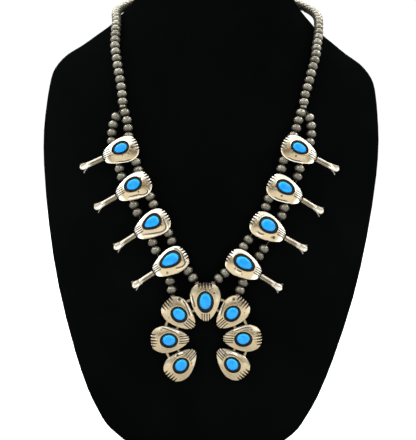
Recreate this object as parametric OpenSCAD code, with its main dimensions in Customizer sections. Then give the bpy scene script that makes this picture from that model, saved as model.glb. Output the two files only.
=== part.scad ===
// Squash blossom necklace of silver and turquoise, on a plain velvet neck bust.
// Millimetres. +Z is up, the chest faces -Y, and the origin is under the middle of the whole.

/* [Bust] */
// Height of the bust
bust_h = 396; // [360:1:430]
// Width of the bust across its shoulders
bust_w = 254; // [235:1:275]
// Depth that the bust's sections are shares of
bust_d = 124; // [115:1:135]
// Roundness of a section, 2 for an ellipse and more for a boxier one
bust_round = 2.4; // [2:0.1:3]

/* [Beads] */
// Diameter of a bead
bead_d = 7; // [6:0.1:7.5]
// Length of a bead along its string
bead_l = 5.5; // [5:0.1:5.6]
// Diameter of the hole through a bead
bead_bore_d = 1.6; // [1.5:0.1:2]
// Width of the seam band round a bead
seam_w = 0.7; // [0.4:0.1:1.2]
// Height of the seam band
seam_h = 0.12; // [0.05:0.01:0.2]
// Free space between neighbours on the single string
bead_gap = 0.25; // [0.2:0.01:0.4]
// Free space between neighbours in the double strands
strand_gap = 0.6; // [0.2:0.05:0.7]
// Beads of a strand above the first blossom
upper_n = 4; // [2:1:5]
// Beads of a strand between two blossoms
between_n = 2; // [1:1:3]
// Bare thread above the first bead of an inner strand
inner_start = 1.3; // [1.3:0.1:1.6]
// Bare thread above the first bead of an outer strand
outer_start = 4.3; // [4.2:0.1:5]
// Bare thread between a tube and the bead next to it
tube_gap = 0.5; // [0.4:0.05:0.8]
// Space between the beads and the bust
string_gap = 0.4; // [0.3:0.1:1.5]
// Thickness of the ring where the single string divides
joint_l = 1.6; // [1.4:0.1:2]
// Diameter of that ring
joint_d = 4.8; // [4.2:0.1:5.4]
// Diameter of its hole
joint_bore_d = 2.4; // [2:0.1:3]

/* [Thread] */
// Diameter of the thread
thread_d = 0.8; // [0.6:0.05:1]
// Diameter of the knot that ends a strand
knot_d = 2.4; // [2:0.1:2.6]

/* [Clasp] */
// Length of the barrel clasp
clasp_l = 12; // [10:0.5:16]
// Diameter of the barrel clasp
clasp_d = 5; // [4:0.1:6]

/* [Blossom heads] */
// Length of a head
head_l = 26.4; // [24:0.1:28]
// Width of a head
head_w = 18.6; // [17:0.1:20]
// Length that the heads' stones are shares of
stone_l = 12; // [10:0.1:12.5]
// Width that the heads' stones are shares of
stone_w = 7.4; // [6:0.1:7.8]

/* [Silver work] */
// Thickness of a head or leaf at its rim
rim_t = 1.3; // [1:0.1:2]
// Radius of the dome along a head or leaf
dome_r = 36; // [30:1:48]
// Thickness of the back plate under a stone
plate_t = 0.8; // [0.6:0.1:1]
// Height of a stone
stone_h = 2.5; // [1.8:0.1:2.8]
// Radius of a stone's polished top
cab_r = 12; // [9:0.5:20]
// Space round a stone in its bezel
stone_play = 0.1; // [0.08:0.01:0.15]
// Space between a stone and the edge of its opening
stone_margin = 1.15; // [0.9:0.05:1.3]
// Thickness of the bezel wall
bezel_t = 0.35; // [0.25:0.05:0.5]
// Height of the bezel wall
bezel_h = 1.3; // [0.8:0.1:1.6]
// Space between an opening and the notches and lines beside it
file_start = 0.4; // [0.2:0.1:0.8]
// Number of filed notches in a wide end
notch_n = 5; // [3:1:6]
// Distance between the notches
notch_step = 2.15; // [1.8:0.05:2.3]
// How far a notch cuts into the outline
notch_bite = 0.8; // [0.2:0.1:1]
// Half width of a notch as a share of its depth
notch_share = 0.5; // [0.35:0.05:0.6]
// Number of filed lines on a narrow end
line_n = 4; // [2:1:5]
// Distance between the lines
line_step = 1.4; // [1:0.1:1.6]
// Depth of a filed line
line_deep = 0.22; // [0.1:0.02:0.4]

/* [Stems] */
// Length of a stem up to its petals
stem_l = 12.6; // [10:0.1:15]
// Diameter of a stem
stem_d = 3.6; // [3:0.1:4.2]
// Number of ridges round a stem
stem_n = 10; // [6:1:12]
// Length of a petal along its curve
petal_l = 5.6; // [4:0.1:7]
// Width of the front petal
petal_w = 4.6; // [3:0.1:5.5]
// Thickness of a petal
petal_t = 0.6; // [0.4:0.05:0.9]
// Bend of the side petals away from the stem
petal_bend = 62; // [30:1:75]

/* [Tubes behind the heads] */
// Outside diameter of a tube
tube_d = 3.2; // [2.8:0.1:4]
// Diameter of a tube's bore
tube_bore_d = 1.6; // [1.5:0.1:2]
// Length of a tube behind a blossom
tube_l = 13.4; // [12:0.1:14]
// Length of a tube behind the crescent
end_tube_l = 4; // [3:0.1:5]
// Space between the plates and the beads behind them
plate_gap = 0.3; // [0.2:0.1:1]
// Thickness of the web that carries a tube
web_t = 1.2; // [0.8:0.1:1.6]

/* [Crescent] */
// Radius of the circle that the stones lie on
ring_r = 26.4; // [25:0.1:29]
// Length of a leaf
leaf_l = 27.4; // [25:0.1:29]
// Width of a leaf
leaf_w = 20; // [18:0.1:21]
// Length of a leaf's stone
leaf_stone_l = 10; // [8:0.1:10.5]
// Width of a leaf's stone
leaf_stone_w = 8.1; // [7:0.1:8.6]
// Length of the top leaf's stone
top_stone_l = 13; // [11:0.1:14]
// Width of the top leaf's stone
top_stone_w = 8.9; // [8:0.1:10]
// How much further out the top leaf's stone lies
top_out = 1.1; // [0:0.1:2]
// Angle between neighbouring leaves
leaf_step = 45.4; // [44:0.1:48]
// Diameter of the wires that join the leaves
wire_d = 2.4; // [2:0.1:3]
// Radius of the outer wire
outer_wire_r = 30; // [28:0.1:34]
// Radius of the inner wire
inner_wire_r = 21.8; // [20:0.1:24]

/* [Hidden] */
eps = 0.01;
// How far a cutting shape reaches past what it cuts
over = 1;

// Sections of the bust from its foot to the top of its neck, as shares.
// Columns: height of bust_h, half width of bust_w / 2, then of bust_d the middle's place
// behind the origin, the depth in front of the middle and the depth behind it.
SECTIONS = [
    [0, 0.27, -0.05, 0.27, 0.29],
    [0.008, 0.355, -0.05, 0.34, 0.34],
    [0.02, 0.44, -0.05, 0.395, 0.38],
    [0.038, 0.52, -0.05, 0.43, 0.40],
    [0.056, 0.58, -0.05, 0.45, 0.42],
    [0.076, 0.62, -0.05, 0.465, 0.43],
    [0.116, 0.685, -0.05, 0.48, 0.435],
    [0.19, 0.77, -0.05, 0.49, 0.445],
    [0.31, 0.875, -0.05, 0.50, 0.455],
    [0.425, 0.945, -0.02, 0.50, 0.45],
    [0.54, 0.99, 0.025, 0.495, 0.435],
    [0.605, 1, 0.065, 0.495, 0.42],
    [0.66, 0.99, 0.105, 0.49, 0.40],
    [0.69, 0.98, 0.13, 0.485, 0.385],
    [0.715, 0.965, 0.153, 0.48, 0.37],
    [0.733, 0.935, 0.167, 0.472, 0.36],
    [0.752, 0.88, 0.18, 0.461, 0.352],
    [0.77, 0.795, 0.192, 0.45, 0.345],
    [0.79, 0.715, 0.207, 0.44, 0.334],
    [0.81, 0.635, 0.22, 0.43, 0.325],
    [0.83, 0.575, 0.232, 0.42, 0.316],
    [0.85, 0.52, 0.243, 0.41, 0.308],
    [0.872, 0.475, 0.249, 0.395, 0.304],
    [0.895, 0.445, 0.253, 0.38, 0.302],
    [0.925, 0.425, 0.256, 0.365, 0.301],
    [0.965, 0.415, 0.258, 0.355, 0.297],
    [0.988, 0.39, 0.26, 0.325, 0.275],
    [1, 0.345, 0.26, 0.285, 0.235]];
SECTION_LAST = len(SECTIONS) - 1;
// Shift that brings the origin under the middle of the whole, as a share of bust_d
MIDDLE_SHARE = 0.0177;
// Rings between two rows of the table, and corners of a ring
RING_STEPS = 2;
RING_N = 48;

// Routes of the single strings from the clasp to where they divide, for the left and the right.
// Columns: angle from the front round to the side and the back, height as a share of bust_h,
// and how far the string stands off further there as a share of bead_d.
STRING_ROUTES = [
    [[-180, 0.889, 0], [-152, 0.884, 0], [-128, 0.872, 0], [-107, 0.856, 0], [-90, 0.840, 0],
     [-74, 0.826, 0], [-61, 0.812, 0], [-49.5, 0.792, 0], [-41, 0.769, 0], [-34, 0.746, 0],
     [-30.3, 0.722, 0], [-28.2, 0.698, 0], [-26.8, 0.673, 0], [-26.1, 0.651, 0]],
    [[180, 0.889, 0], [153, 0.885, 0], [130, 0.876, 0.07], [110, 0.863, 0.21], [94, 0.847, 0.36],
     [80, 0.831, 0.43], [67, 0.814, 0.36], [54.5, 0.794, 0.14], [44.5, 0.773, 0], [36.5, 0.750, 0],
     [31.6, 0.726, 0], [29.1, 0.700, 0], [27.5, 0.680, 0], [26.9, 0.661, 0]]];
// More beads than a single string ever holds
STRING_MOST = 99;
// Points between the division and the first blossom, for the inner and the outer strand
STRAND_ROUTES = [
    [[[-24.9, 0.638], [-23.6, 0.615]], [[-28.6, 0.632], [-29.6, 0.604]]],
    [[[25.5, 0.647], [24.2, 0.623]], [[29.4, 0.641], [29.9, 0.613]]]];

// Places of the blossoms, from the top down, for the left and the right.
// Columns: angle from the front, height as a share of bust_h, tilt of the head, turn of its stem
// away from its axis, the stone's length and width as shares of stone_l and stone_w, and how
// much narrower than its middle the stone is towards the stem.
BLOSSOMS = [
    [[-25.3, 0.574, 24, 3, 0.87, 0.88, 0.12], [-20.9, 0.511, 30, 1.5, 0.9, 1, 0.08],
     [-14.9, 0.446, 33, 2, 1, 1, 0.3], [-9.3, 0.381, 33, 4.5, 1.15, 1.08, 0.25]],
    [[24.7, 0.585, 25, 0.5, 0.91, 0.88, 0.12], [20.6, 0.515, 28, 1.5, 0.98, 0.94, 0.1],
     [16, 0.4475, 29, -1.5, 0.98, 1.12, 0.08], [9.3, 0.380, 30, 0, 1.13, 1.05, 0.12]]];
// Shares of a stretch's free room that lie above its beads, from the first stretch to the last
SLACK = [[0.5, 0, 0, 0, 0.5], [0.5, 0, 0, 0.6, 0.5]];
// Place of the crescent's middle: angle from the front and share of bust_h. Its turn and lean.
CRESCENT_PLACE = [0.25, 0.244];
CRESCENT_TURN = 3;
CRESCENT_LEAN = 5;

// Outlines of a head and of a leaf, from the narrow end to the wide end.
// Columns: angle round the outline, half width as a share of half the full width.
HEAD_EGG = [[0, 0.2], [18, 0.41], [45, 0.64], [72, 0.85], [100, 1],
            [124, 0.96], [146, 0.74], [164, 0.41], [180, 0]];
LEAF_EGG = [[0, 0.1], [24, 0.28], [50, 0.56], [78, 0.84], [107, 1],
            [134, 0.86], [154, 0.6], [169, 0.34], [180, 0]];
EGG_STEP = 9;
// Where the opening's middle lies along a head, as a share of its length from the narrow end
SEAT = 0.525;
// How far a head's outline lies below its opening's middle, as a share of its width
DROP = 0.09;
// Roundness of a wide end, as a share of the width
END_ROUND = 0.63;
OVAL_N = 32;

// Petals of a stem. Columns: turn round the stem, width as a share of petal_w, bend as a share
// of petal_bend.
PETALS = [[0, 1, 0.5], [118, 0.62, 1], [-118, 0.62, 1]];

// Places of the tubes behind a head: the inner and the outer one along its axis, as shares of
// its length, and how far both reach further down than up, as a share of their length
TUBE_PLACES = [0.24, -0.25];
TUBE_SHIFT = 0.16;
// Places of the tubes behind the crescent: angle from its top, share of the ring's radius, turn
END_TUBES = [[7.7, 1.46, 32], [38, 1.39, 18]];

// Lift of the strings' axis over the bust, of the tubes' axis under the plates, and of the plates
string_lift = bead_d / 2 + seam_h + string_gap;
tube_drop = bead_d / 2 + seam_h + plate_gap;
plate_lift = string_lift + tube_drop;
dome_cross = 0.49 * dome_r;
top_leaf_l = leaf_l + (top_stone_l - leaf_stone_l) / 6;
top_leaf_w = 1.1 * leaf_w;
crescent_reach = ring_r + leaf_l / 2;
crescent_lift = plate_lift - crescent_reach * sin(CRESCENT_LEAN);

// Smooth value of one column of the bust's table at a height share
function section_slope(k, c) =
    let (a = max(k - 1, 0), b = min(k + 1, SECTION_LAST))
    (SECTIONS[b][c] - SECTIONS[a][c]) / (SECTIONS[b][0] - SECTIONS[a][0]);
function section(s, c) =
    let (k = max([for (i = [0 : SECTION_LAST - 1]) if (i == 0 || SECTIONS[i][0] <= s) i]),
         p = SECTIONS[k], q = SECTIONS[k + 1], h = q[0] - p[0], t = (s - p[0]) / h)
    hermite(p[c], q[c], section_slope(k, c) * h, section_slope(k + 1, c) * h, t);
function hermite(p, q, m, n, t) =
    (2 * t ^ 3 - 3 * t ^ 2 + 1) * p + (t ^ 3 - 2 * t ^ 2 + t) * m
    + (3 * t ^ 2 - 2 * t ^ 3) * q + (t ^ 3 - t ^ 2) * n;

// Point on the bust at an angle from the front and a height share
function rounded(v) = sign(v) * abs(v) ^ (2 / bust_round);
function bust_point(a, s) =
    let (depth = abs(a) < 90 ? section(s, 3) : section(s, 4))
    [bust_w / 2 * section(s, 1) * rounded(sin(a)),
     bust_d * (section(s, 2) + MIDDLE_SHARE - depth * rounded(cos(a))),
     bust_h * s];
function unit(v) = v / norm(v);
function bust_normal(a, s) =
    unit(cross(bust_point(a + 0.5, s) - bust_point(a - 0.5, s),
               bust_point(a, s + 0.001) - bust_point(a, s - 0.001)));
function lifted(a, s, lift) = bust_point(a, s) + lift * bust_normal(a, s);

// Frame that stands on the bust: its third axis points away from it and its second one up
function frame_on(at, n) =
    let (r = unit(cross([0, 0, 1], n)), u = cross(n, r))
    [[r[0], u[0], n[0], at[0]], [r[1], u[1], n[1], at[1]], [r[2], u[2], n[2], at[2]], [0, 0, 0, 1]];
function bust_frame(a, s, lift) = frame_on(lifted(a, s, lift), bust_normal(a, s));
function moved(m, p) = let (q = m * [p[0], p[1], p[2], 1]) [q[0], q[1], q[2]];

// Curve through points or rows, with a few steps between two of them
function curve(p, steps) =
    let (last = len(p) - 1)
    [for (k = [0 : last - 1]) for (j = [0 : steps - 1])
        hermite(p[k], p[k + 1],
                (p[k + 1] - p[max(k - 1, 0)]) / 2, (p[min(k + 2, last)] - p[k]) / 2, j / steps),
     p[last]];
function distances(p) = [for (i = 0, d = 0; i < len(p);
    d = d + (i + 1 < len(p) ? norm(p[i + 1] - p[i]) : 0), i = i + 1) [d, i]];
function at_distance(p, table, d) =
    let (f = lookup(d, table), i = min(floor(f), len(p) - 2)) p[i] + (f - i) * (p[i + 1] - p[i]);

// Beads of a stretch of string: rows of a centre and a direction. A share of what room is left
// lies above them.
function beads_on(p, start, end, step, most, share) =
    let (table = distances(p), room = table[len(p) - 1][0] - start - end,
         n = min(most, floor((room + bead_gap) / (bead_l + bead_gap))),
         pitch = n > 1 ? min(step, (room - bead_l) / (n - 1)) : 0)
    [for (i = [0 : 1 : n - 1])
        let (d = start + share * (room - bead_l - (n - 1) * pitch) + i * pitch,
             a = at_distance(p, table, d), b = at_distance(p, table, d + bead_l))
        [(a + b) / 2, unit(b - a)]];

// The single string of one side
function string_path(side) =
    [for (q = curve(STRING_ROUTES[side], 8)) lifted(q[0], q[1], string_lift + q[2] * bead_d)];
function string_beads(side) =
    beads_on(string_path(side), clasp_l / 2 + bead_gap, joint_l / 2 + bead_gap, 2 * bead_l, STRING_MOST, 0.5);
function divide_at(side) = let (p = string_path(side)) p[len(p) - 1];
function divide_way(side) = let (p = string_path(side)) unit(p[len(p) - 1] - p[len(p) - 3]);

// Frames of the blossoms and of the crescent, with a head's local +X towards its wide end
function turned(side, angle) =
    side == 0 ? [[cos(angle), -sin(angle), 0, 0], [sin(angle), cos(angle), 0, 0], [0, 0, 1, 0], [0, 0, 0, 1]]
    : [[-cos(angle), sin(angle), 0, 0], [sin(angle), cos(angle), 0, 0], [0, 0, 1, 0], [0, 0, 0, 1]];
function blossom_frame(side, i) =
    let (b = BLOSSOMS[side][i]) bust_frame(b[0], b[1], plate_lift) * turned(side, b[2]);
function tipped(angle) =
    [[1, 0, 0, 0], [0, cos(angle), -sin(angle), 0], [0, sin(angle), cos(angle), 0], [0, 0, 0, 1]];
function crescent_frame() =
    bust_frame(CRESCENT_PLACE[0], CRESCENT_PLACE[1], crescent_lift)
    * tipped(CRESCENT_LEAN) * turned(0, CRESCENT_TURN);
function tube_top() = (0.5 - TUBE_SHIFT) * tube_l;
function tube_foot() = -(0.5 + TUBE_SHIFT) * tube_l;
function head_tube(side, i, strand, y) =
    moved(blossom_frame(side, i), [TUBE_PLACES[strand] * head_l, y, -tube_drop]);

// A tube behind the crescent, in the crescent's frame: its middle, and points along its axis
function end_tube_way(side, strand) =
    let (t = END_TUBES[strand][2], m = side == 0 ? 1 : -1) [-m * sin(t), cos(t), 0];
function end_tube_middle(side, strand) =
    let (e = END_TUBES[strand], m = side == 0 ? 1 : -1)
    [-m * e[1] * ring_r * sin(e[0]), e[1] * ring_r * cos(e[0]), -tube_drop];
function end_tube(side, strand, y) =
    moved(crescent_frame(), end_tube_middle(side, strand) + y * end_tube_way(side, strand));

// Stretches of a double strand: from the division to the first head, between heads, to the crescent
function strand_stretches(side, strand) = concat(
    [curve(concat([divide_at(side) + joint_l / 2 * divide_way(side)],
                  [for (q = STRAND_ROUTES[side][strand]) lifted(q[0], q[1], string_lift)],
                  [head_tube(side, 0, strand, tube_top())]), 8)],
    [for (i = [0 : 2]) [head_tube(side, i, strand, tube_foot()), head_tube(side, i + 1, strand, tube_top())]],
    [[head_tube(side, 3, strand, tube_foot()), end_tube(side, strand, end_tube_l / 2)]]);
function stretch_beads(side, strand, i) =
    let (p = strand_stretches(side, strand)[i], step = bead_l + strand_gap)
    i == 0 ? beads_on(p, strand == 0 ? inner_start : outer_start, tube_gap, step, upper_n, SLACK[side][i])
    : beads_on(p, tube_gap, tube_gap, step, between_n, SLACK[side][i]);

// Route of the thread through a double strand, which ends in a knot past the crescent's tube
function knot_at(side, strand) = end_tube(side, strand, -end_tube_l / 2 - knot_d / 2 - eps);
function strand_thread(side, strand) =
    let (stretches = strand_stretches(side, strand))
    concat([for (i = [0 : len(stretches) - 1])
                each concat([stretches[i][0]],
                            [for (b = stretch_beads(side, strand, i))
                                for (m = [-1, 1]) b[0] + m * bead_l / 2 * b[1]],
                            [stretches[i][len(stretches[i]) - 1]])],
           [end_tube(side, strand, -end_tube_l / 2), knot_at(side, strand)]);
function string_thread(side) =
    let (m = side == 0 ? -1 : 1, f = bust_frame(180, STRING_ROUTES[0][0][1], string_lift))
    concat([moved(f, [-m * thread_d, 0, 0]), moved(f, [-m * clasp_l / 2, 0, 0])],
           [for (b = string_beads(side)) b[0]], [divide_at(side)]);

// Tube of a few sides swept along points
THREAD_SIDES = 6;
function swept_normals(ways) = [for (i = 0, n = unit(cross(ways[0], [0.3, 0.5, 0.8])); i < len(ways);
    i = i + 1, n = i < len(ways) ? unit(n - (n * ways[i]) * ways[i]) : n) n];
module swept(p, d) {
    last = len(p) - 1;
    ways = [for (i = [0 : last]) unit(p[min(i + 1, last)] - p[max(i - 1, 0)])];
    normals = swept_normals(ways);
    corners = [for (i = [0 : last]) for (k = [0 : THREAD_SIDES - 1])
        let (a = 360 * k / THREAD_SIDES, n = normals[i], b = cross(ways[i], n))
        p[i] + d / 2 * (cos(a) * n + sin(a) * b)];
    sides = [for (i = [0 : last - 1]) for (k = [0 : THREAD_SIDES - 1])
        let (a = i * THREAD_SIDES, b = (k + 1) % THREAD_SIDES)
        [a + k, a + THREAD_SIDES + k, a + THREAD_SIDES + b, a + b]];
    ends = [[for (k = [0 : THREAD_SIDES - 1]) k],
            [for (k = [THREAD_SIDES - 1 : -1 : 0]) last * THREAD_SIDES + k]];
    polyhedron(corners, concat(ends, sides));
}

// The bust: rings of the table's sections, closed by its foot and the top of its neck
module bust() {
    heights = [for (k = [0 : SECTION_LAST - 1]) for (j = [0 : RING_STEPS - 1])
        SECTIONS[k][0] + j / RING_STEPS * (SECTIONS[k + 1][0] - SECTIONS[k][0]), 1];
    last = len(heights) - 1;
    corners = [for (s = heights) for (k = [0 : RING_N - 1]) bust_point(360 * k / RING_N - 180, s)];
    walls = [for (i = [0 : last - 1]) for (k = [0 : RING_N - 1])
        let (a = i * RING_N, b = (k + 1) % RING_N)
        [a + k, a + RING_N + k, a + RING_N + b, a + b]];
    ends = [[for (k = [0 : RING_N - 1]) k],
            [for (k = [RING_N - 1 : -1 : 0]) last * RING_N + k]];
    color("#141418") polyhedron(corners, concat(ends, walls));
}

// A drilled bead with a seam band round its middle, along Z
module bead() {
    shoulder = (bead_d - bead_l) / 2;
    rotate_extrude($fn = 32) {
        intersection() {
            translate([shoulder, 0]) circle(d = bead_l, $fn = 32);
            translate([bead_bore_d / 2, -bead_l]) square([bead_d, 2 * bead_l]);
        }
        translate([bead_d / 2 - seam_w, -seam_w / 2]) square([seam_w + seam_h, seam_w]);
    }
}

module along(at, way) {
    translate(at) rotate([0, acos(way[2]), atan2(way[1], way[0])]) children();
}

// The ring where a string divides in two
module joint_ring(side) {
    along(divide_at(side), divide_way(side))
        difference() {
            cylinder(d = joint_d, h = joint_l, center = true, $fn = 32);
            cylinder(d = joint_bore_d, h = 2 * joint_l, center = true, $fn = 24);
        }
}

module string(side) {
    color("#8f8877") {
        for (b = string_beads(side)) along(b[0], b[1]) bead();
        joint_ring(side);
    }
}

module strand(side, strand) {
    color("#8f8877")
        for (i = [0 : 4])
            for (b = stretch_beads(side, strand, i)) along(b[0], b[1]) bead();
}

module thread(side) {
    main = concat(string_thread(side), strand_thread(side, 0));
    color("#3a362f") union() {
        swept(main, thread_d);
        swept(strand_thread(side, 1), thread_d);
        for (i = [0, 1]) translate(knot_at(side, i)) sphere(d = knot_d, $fn = 12);
    }
}

module clasp() {
    color("#b9b4a4")
        multmatrix(bust_frame(180, STRING_ROUTES[0][0][1], string_lift))
            rotate([0, 90, 0])
                difference() {
                    cylinder(d = clasp_d, h = clasp_l, center = true, $fn = 48);
                    cylinder(d = bead_bore_d, h = 2 * clasp_l, center = true, $fn = 24);
                }
}

// Flat shapes of the silver work
function egg_half(egg, a) =
    let (k = max([for (i = [0 : len(egg) - 2]) if (i == 0 || egg[i][0] <= a) i]),
         t = (a - egg[k][0]) / (egg[k + 1][0] - egg[k][0]))
    hermite(egg[k][1], egg[k + 1][1],
            (egg[k + 1][1] - egg[max(k - 1, 0)][1]) / 2,
            (egg[min(k + 2, len(egg) - 1)][1] - egg[k][1]) / 2, t);
function egg_side(egg, l, w) =
    [for (a = [0 : EGG_STEP : 180]) [l * ((1 - cos(a)) / 2 - SEAT), w / 2 * egg_half(egg, a)]];
module egg_shape(egg, l, w) {
    upper = egg_side(egg, l, w);
    polygon(concat(upper, [for (i = [len(upper) - 2 : -1 : 0]) [upper[i][0], -upper[i][1]]]));
}
// An oval that a taper makes wider towards +X
module oval(l, w, taper) {
    polygon([for (i = [0 : OVAL_N - 1])
        let (a = 360 * i / OVAL_N) [l / 2 * cos(a), w / 2 * sin(a) * (1 + taper * cos(a))]]);
}
function leaf_h(w) = rim_t + w ^ 2 / 8 / dome_cross;

// Dome of two radii whose top lies at height h: round along X and rounder across it
module dome(h) {
    translate([0, 0, h - dome_r])
        rotate([90, 0, 0])
            rotate_extrude($fn = 96)
                translate([dome_r - dome_cross, 0]) circle(r = dome_cross, $fn = 96);
}

// A cut with a V section that runs along X, sinks away from its start and has its edge below
module v_cut(length, tilt, share) {
    rotate([0, tilt, 0])
        rotate([90, 0, 90])
            linear_extrude(length) polygon([[0, 0], [length * share, length], [-length * share, length]]);
}

// A domed shadowbox plate with an opening round its stone, its notches and its filed lines
module plate(egg, l, w, l_stone, w_stone, taper, drop) {
    h = leaf_h(w);
    start = l_stone / 2 + stone_margin + file_start;
    start_h = h - start ^ 2 / 2 / dome_r;
    line_tilt = atan(((SEAT * l) ^ 2 - start ^ 2) / 2 / dome_r / (SEAT * l - start));
    difference() {
        translate([0, -drop, 0])
            intersection() {
                linear_extrude(h + over) egg_shape(egg, l, w);
                dome(h);
            }
        translate([0, 0, plate_t])
            linear_extrude(h) oval(l_stone + 2 * stone_margin, w_stone + 2 * stone_margin, taper);
        for (i = [0 : notch_n - 1]) {
            y = (i - (notch_n - 1) / 2) * notch_step - drop / 2;
            reach = (1 - SEAT) * l - (y + drop) ^ 2 / 2 / END_ROUND / w - notch_bite;
            translate([start, y, start_h]) v_cut(l, atan(start_h / (reach - start)), notch_share);
        }
        for (i = [0 : line_n - 1])
            translate([-start, (i - (line_n - 1) / 2) * line_step, start_h - line_deep])
                rotate([0, 0, 180]) v_cut(l, line_tilt, 1);
    }
}

module bezel(l, w, taper) {
    inside = 2 * stone_play;
    outside = inside + 2 * bezel_t;
    linear_extrude(plate_t + bezel_h)
        difference() {
            oval(l + outside, w + outside, taper);
            oval(l + inside, w + inside, taper);
        }
}

module cabochon(l, w, taper) {
    translate([0, 0, plate_t + stone_play])
        intersection() {
            linear_extrude(stone_h) oval(l, w, taper);
            translate([0, 0, stone_h - cab_r]) sphere(r = cab_r, $fn = 96);
        }
}

// A tube along Y on a web under the plates, from y = low to y = high
module tube(low, high) {
    translate([0, low, -tube_drop])
        difference() {
            union() {
                rotate([-90, 0, 0]) cylinder(d = tube_d, h = high - low, $fn = 32);
                translate([-web_t / 2, 0, 0]) cube([web_t, high - low, tube_drop + plate_t / 2]);
            }
            translate([0, -over, 0])
                rotate([-90, 0, 0]) cylinder(d = tube_bore_d, h = high - low + 2 * over, $fn = 24);
        }
}

// A petal that leaves a stem along X and bends up, cut to a rounded outline
module petal(w, bend) {
    r = petal_l * 180 / PI / bend;
    reach = r * sin(bend);
    root = 0.18 * petal_l;
    outline = [[-0.5, 0.3], [0.15, 0.38], [0.45, 0.48], [0.68, 0.48], [0.86, 0.37], [0.96, 0.21], [1, 0.06]];
    bends = [for (i = [0 : 6]) i * bend / 6];
    edge = [for (q = outline) [q[0] * reach, q[1] * w]];
    intersection() {
        rotate([90, 0, 0])
            linear_extrude(w + over, center = true)
                polygon(concat([[-root, 0]], [for (a = bends) [r * sin(a), r * (1 - cos(a))]],
                               [for (i = [6 : -1 : 0]) let (a = bends[i], q = r - petal_t)
                                   [q * sin(a), r - q * cos(a)]],
                               [[-root, petal_t]]));
        linear_extrude(2 * r)
            polygon(concat(edge, [for (i = [len(edge) - 1 : -1 : 0]) [edge[i][0], -edge[i][1]]]));
    }
}

// A ridged stem along X with its petals
module stem() {
    root = 0.55 * stem_d;
    joint = 0.25 * stem_d;
    ridge = [for (i = [0 : 2 * stem_n - 1])
        let (a = 180 * i / stem_n, r = stem_d / 2 * (i % 2 == 0 ? 1 : 0.86)) [r * cos(a), r * sin(a)]];
    translate([-root, 0, 0]) rotate([0, 90, 0]) cylinder(d = 0.75 * stem_d, h = 2 * root, $fn = 24);
    translate([joint, 0, 0]) rotate([0, 90, 0]) linear_extrude(stem_l - joint) polygon(ridge);
    for (q = PETALS)
        translate([stem_l - petal_t, 0, 0])
            rotate([q[0], 0, 0])
                translate([0, 0, stem_d / 2 - petal_t]) petal(q[1] * petal_w, q[2] * petal_bend);
}

module blossom(side, i) {
    b = BLOSSOMS[side][i];
    l = b[4] * stone_l;
    w = b[5] * stone_w;
    color("#d9d2bd")
        multmatrix(blossom_frame(side, i)) {
            plate(HEAD_EGG, head_l, head_w, l, w, b[6], DROP * head_w);
            bezel(l, w, b[6]);
            translate([-SEAT * head_l, -DROP * head_w, 0.36 * stem_d])
                rotate([0, 0, 180 + b[3]]) stem();
            for (strand = [0, 1])
                translate([TUBE_PLACES[strand] * head_l, 0, 0]) tube(tube_foot(), tube_top());
        }
}

module stone(side, i) {
    b = BLOSSOMS[side][i];
    color("#3fb4e6")
        multmatrix(blossom_frame(side, i)) cabochon(b[4] * stone_l, b[5] * stone_w, b[6]);
}

// Places of the crescent's leaves, from the lower left round to the lower right
module leaf_place(i) {
    rotate([0, 0, 90 + (3 - i) * leaf_step]) translate([ring_r + (i == 3 ? top_out : 0), 0, 0]) children();
}

module leaf(i) {
    if (i == 3) {
        plate(LEAF_EGG, top_leaf_l, top_leaf_w, top_stone_l, top_stone_w, 0, 0);
        bezel(top_stone_l, top_stone_w, 0);
    } else {
        plate(LEAF_EGG, leaf_l, leaf_w, leaf_stone_l, leaf_stone_w, 0, 0);
        bezel(leaf_stone_l, leaf_stone_w, 0);
    }
}

// A wire behind the leaves, half sunk in their plates
module wire(r) {
    sweep = 6 * leaf_step + 16;
    translate([0, 0, -wire_d / 2 + plate_t / 2])
        rotate([0, 0, 90 - sweep / 2])
            rotate_extrude(angle = sweep, $fn = 96) translate([r, 0]) circle(d = wire_d, $fn = 24);
}

module crescent() {
    color("#d9d2bd")
        multmatrix(crescent_frame()) {
            for (i = [0 : 6]) leaf_place(i) leaf(i);
            wire(outer_wire_r);
            wire(inner_wire_r);
            for (side = [0, 1]) for (strand = [0, 1])
                translate([end_tube_middle(side, strand)[0], end_tube_middle(side, strand)[1], 0])
                    rotate([0, 0, (side == 0 ? 1 : -1) * END_TUBES[strand][2]])
                        tube(-end_tube_l / 2, end_tube_l / 2);
        }
}

module crescent_stone(i) {
    color("#3fb4e6")
        multmatrix(crescent_frame())
            leaf_place(i)
                if (i == 3) cabochon(top_stone_l, top_stone_w, 0);
                else cabochon(leaf_stone_l, leaf_stone_w, 0);
}

bust();
clasp();
thread(0);  // thread_left
thread(1);  // thread_right
string(0);  // string_left
string(1);  // string_right
strand(0, 0);  // strand_left_inner
strand(0, 1);  // strand_left_outer
strand(1, 0);  // strand_right_inner
strand(1, 1);  // strand_right_outer
blossom(0, 0);  // blossom_left_1
blossom(0, 1);  // blossom_left_2
blossom(0, 2);  // blossom_left_3
blossom(0, 3);  // blossom_left_4
blossom(1, 0);  // blossom_right_1
blossom(1, 1);  // blossom_right_2
blossom(1, 2);  // blossom_right_3
blossom(1, 3);  // blossom_right_4
stone(0, 0);  // stone_left_1
stone(0, 1);  // stone_left_2
stone(0, 2);  // stone_left_3
stone(0, 3);  // stone_left_4
stone(1, 0);  // stone_right_1
stone(1, 1);  // stone_right_2
stone(1, 2);  // stone_right_3
stone(1, 3);  // stone_right_4
crescent();
crescent_stone(0);  // crescent_stone_1
crescent_stone(1);  // crescent_stone_2
crescent_stone(2);  // crescent_stone_3
crescent_stone(3);  // crescent_stone_4
crescent_stone(4);  // crescent_stone_5
crescent_stone(5);  // crescent_stone_6
crescent_stone(6);  // crescent_stone_7
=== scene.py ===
import math
import random

import bmesh
import bpy
import numpy as np
from mathutils import Matrix, Vector


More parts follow.
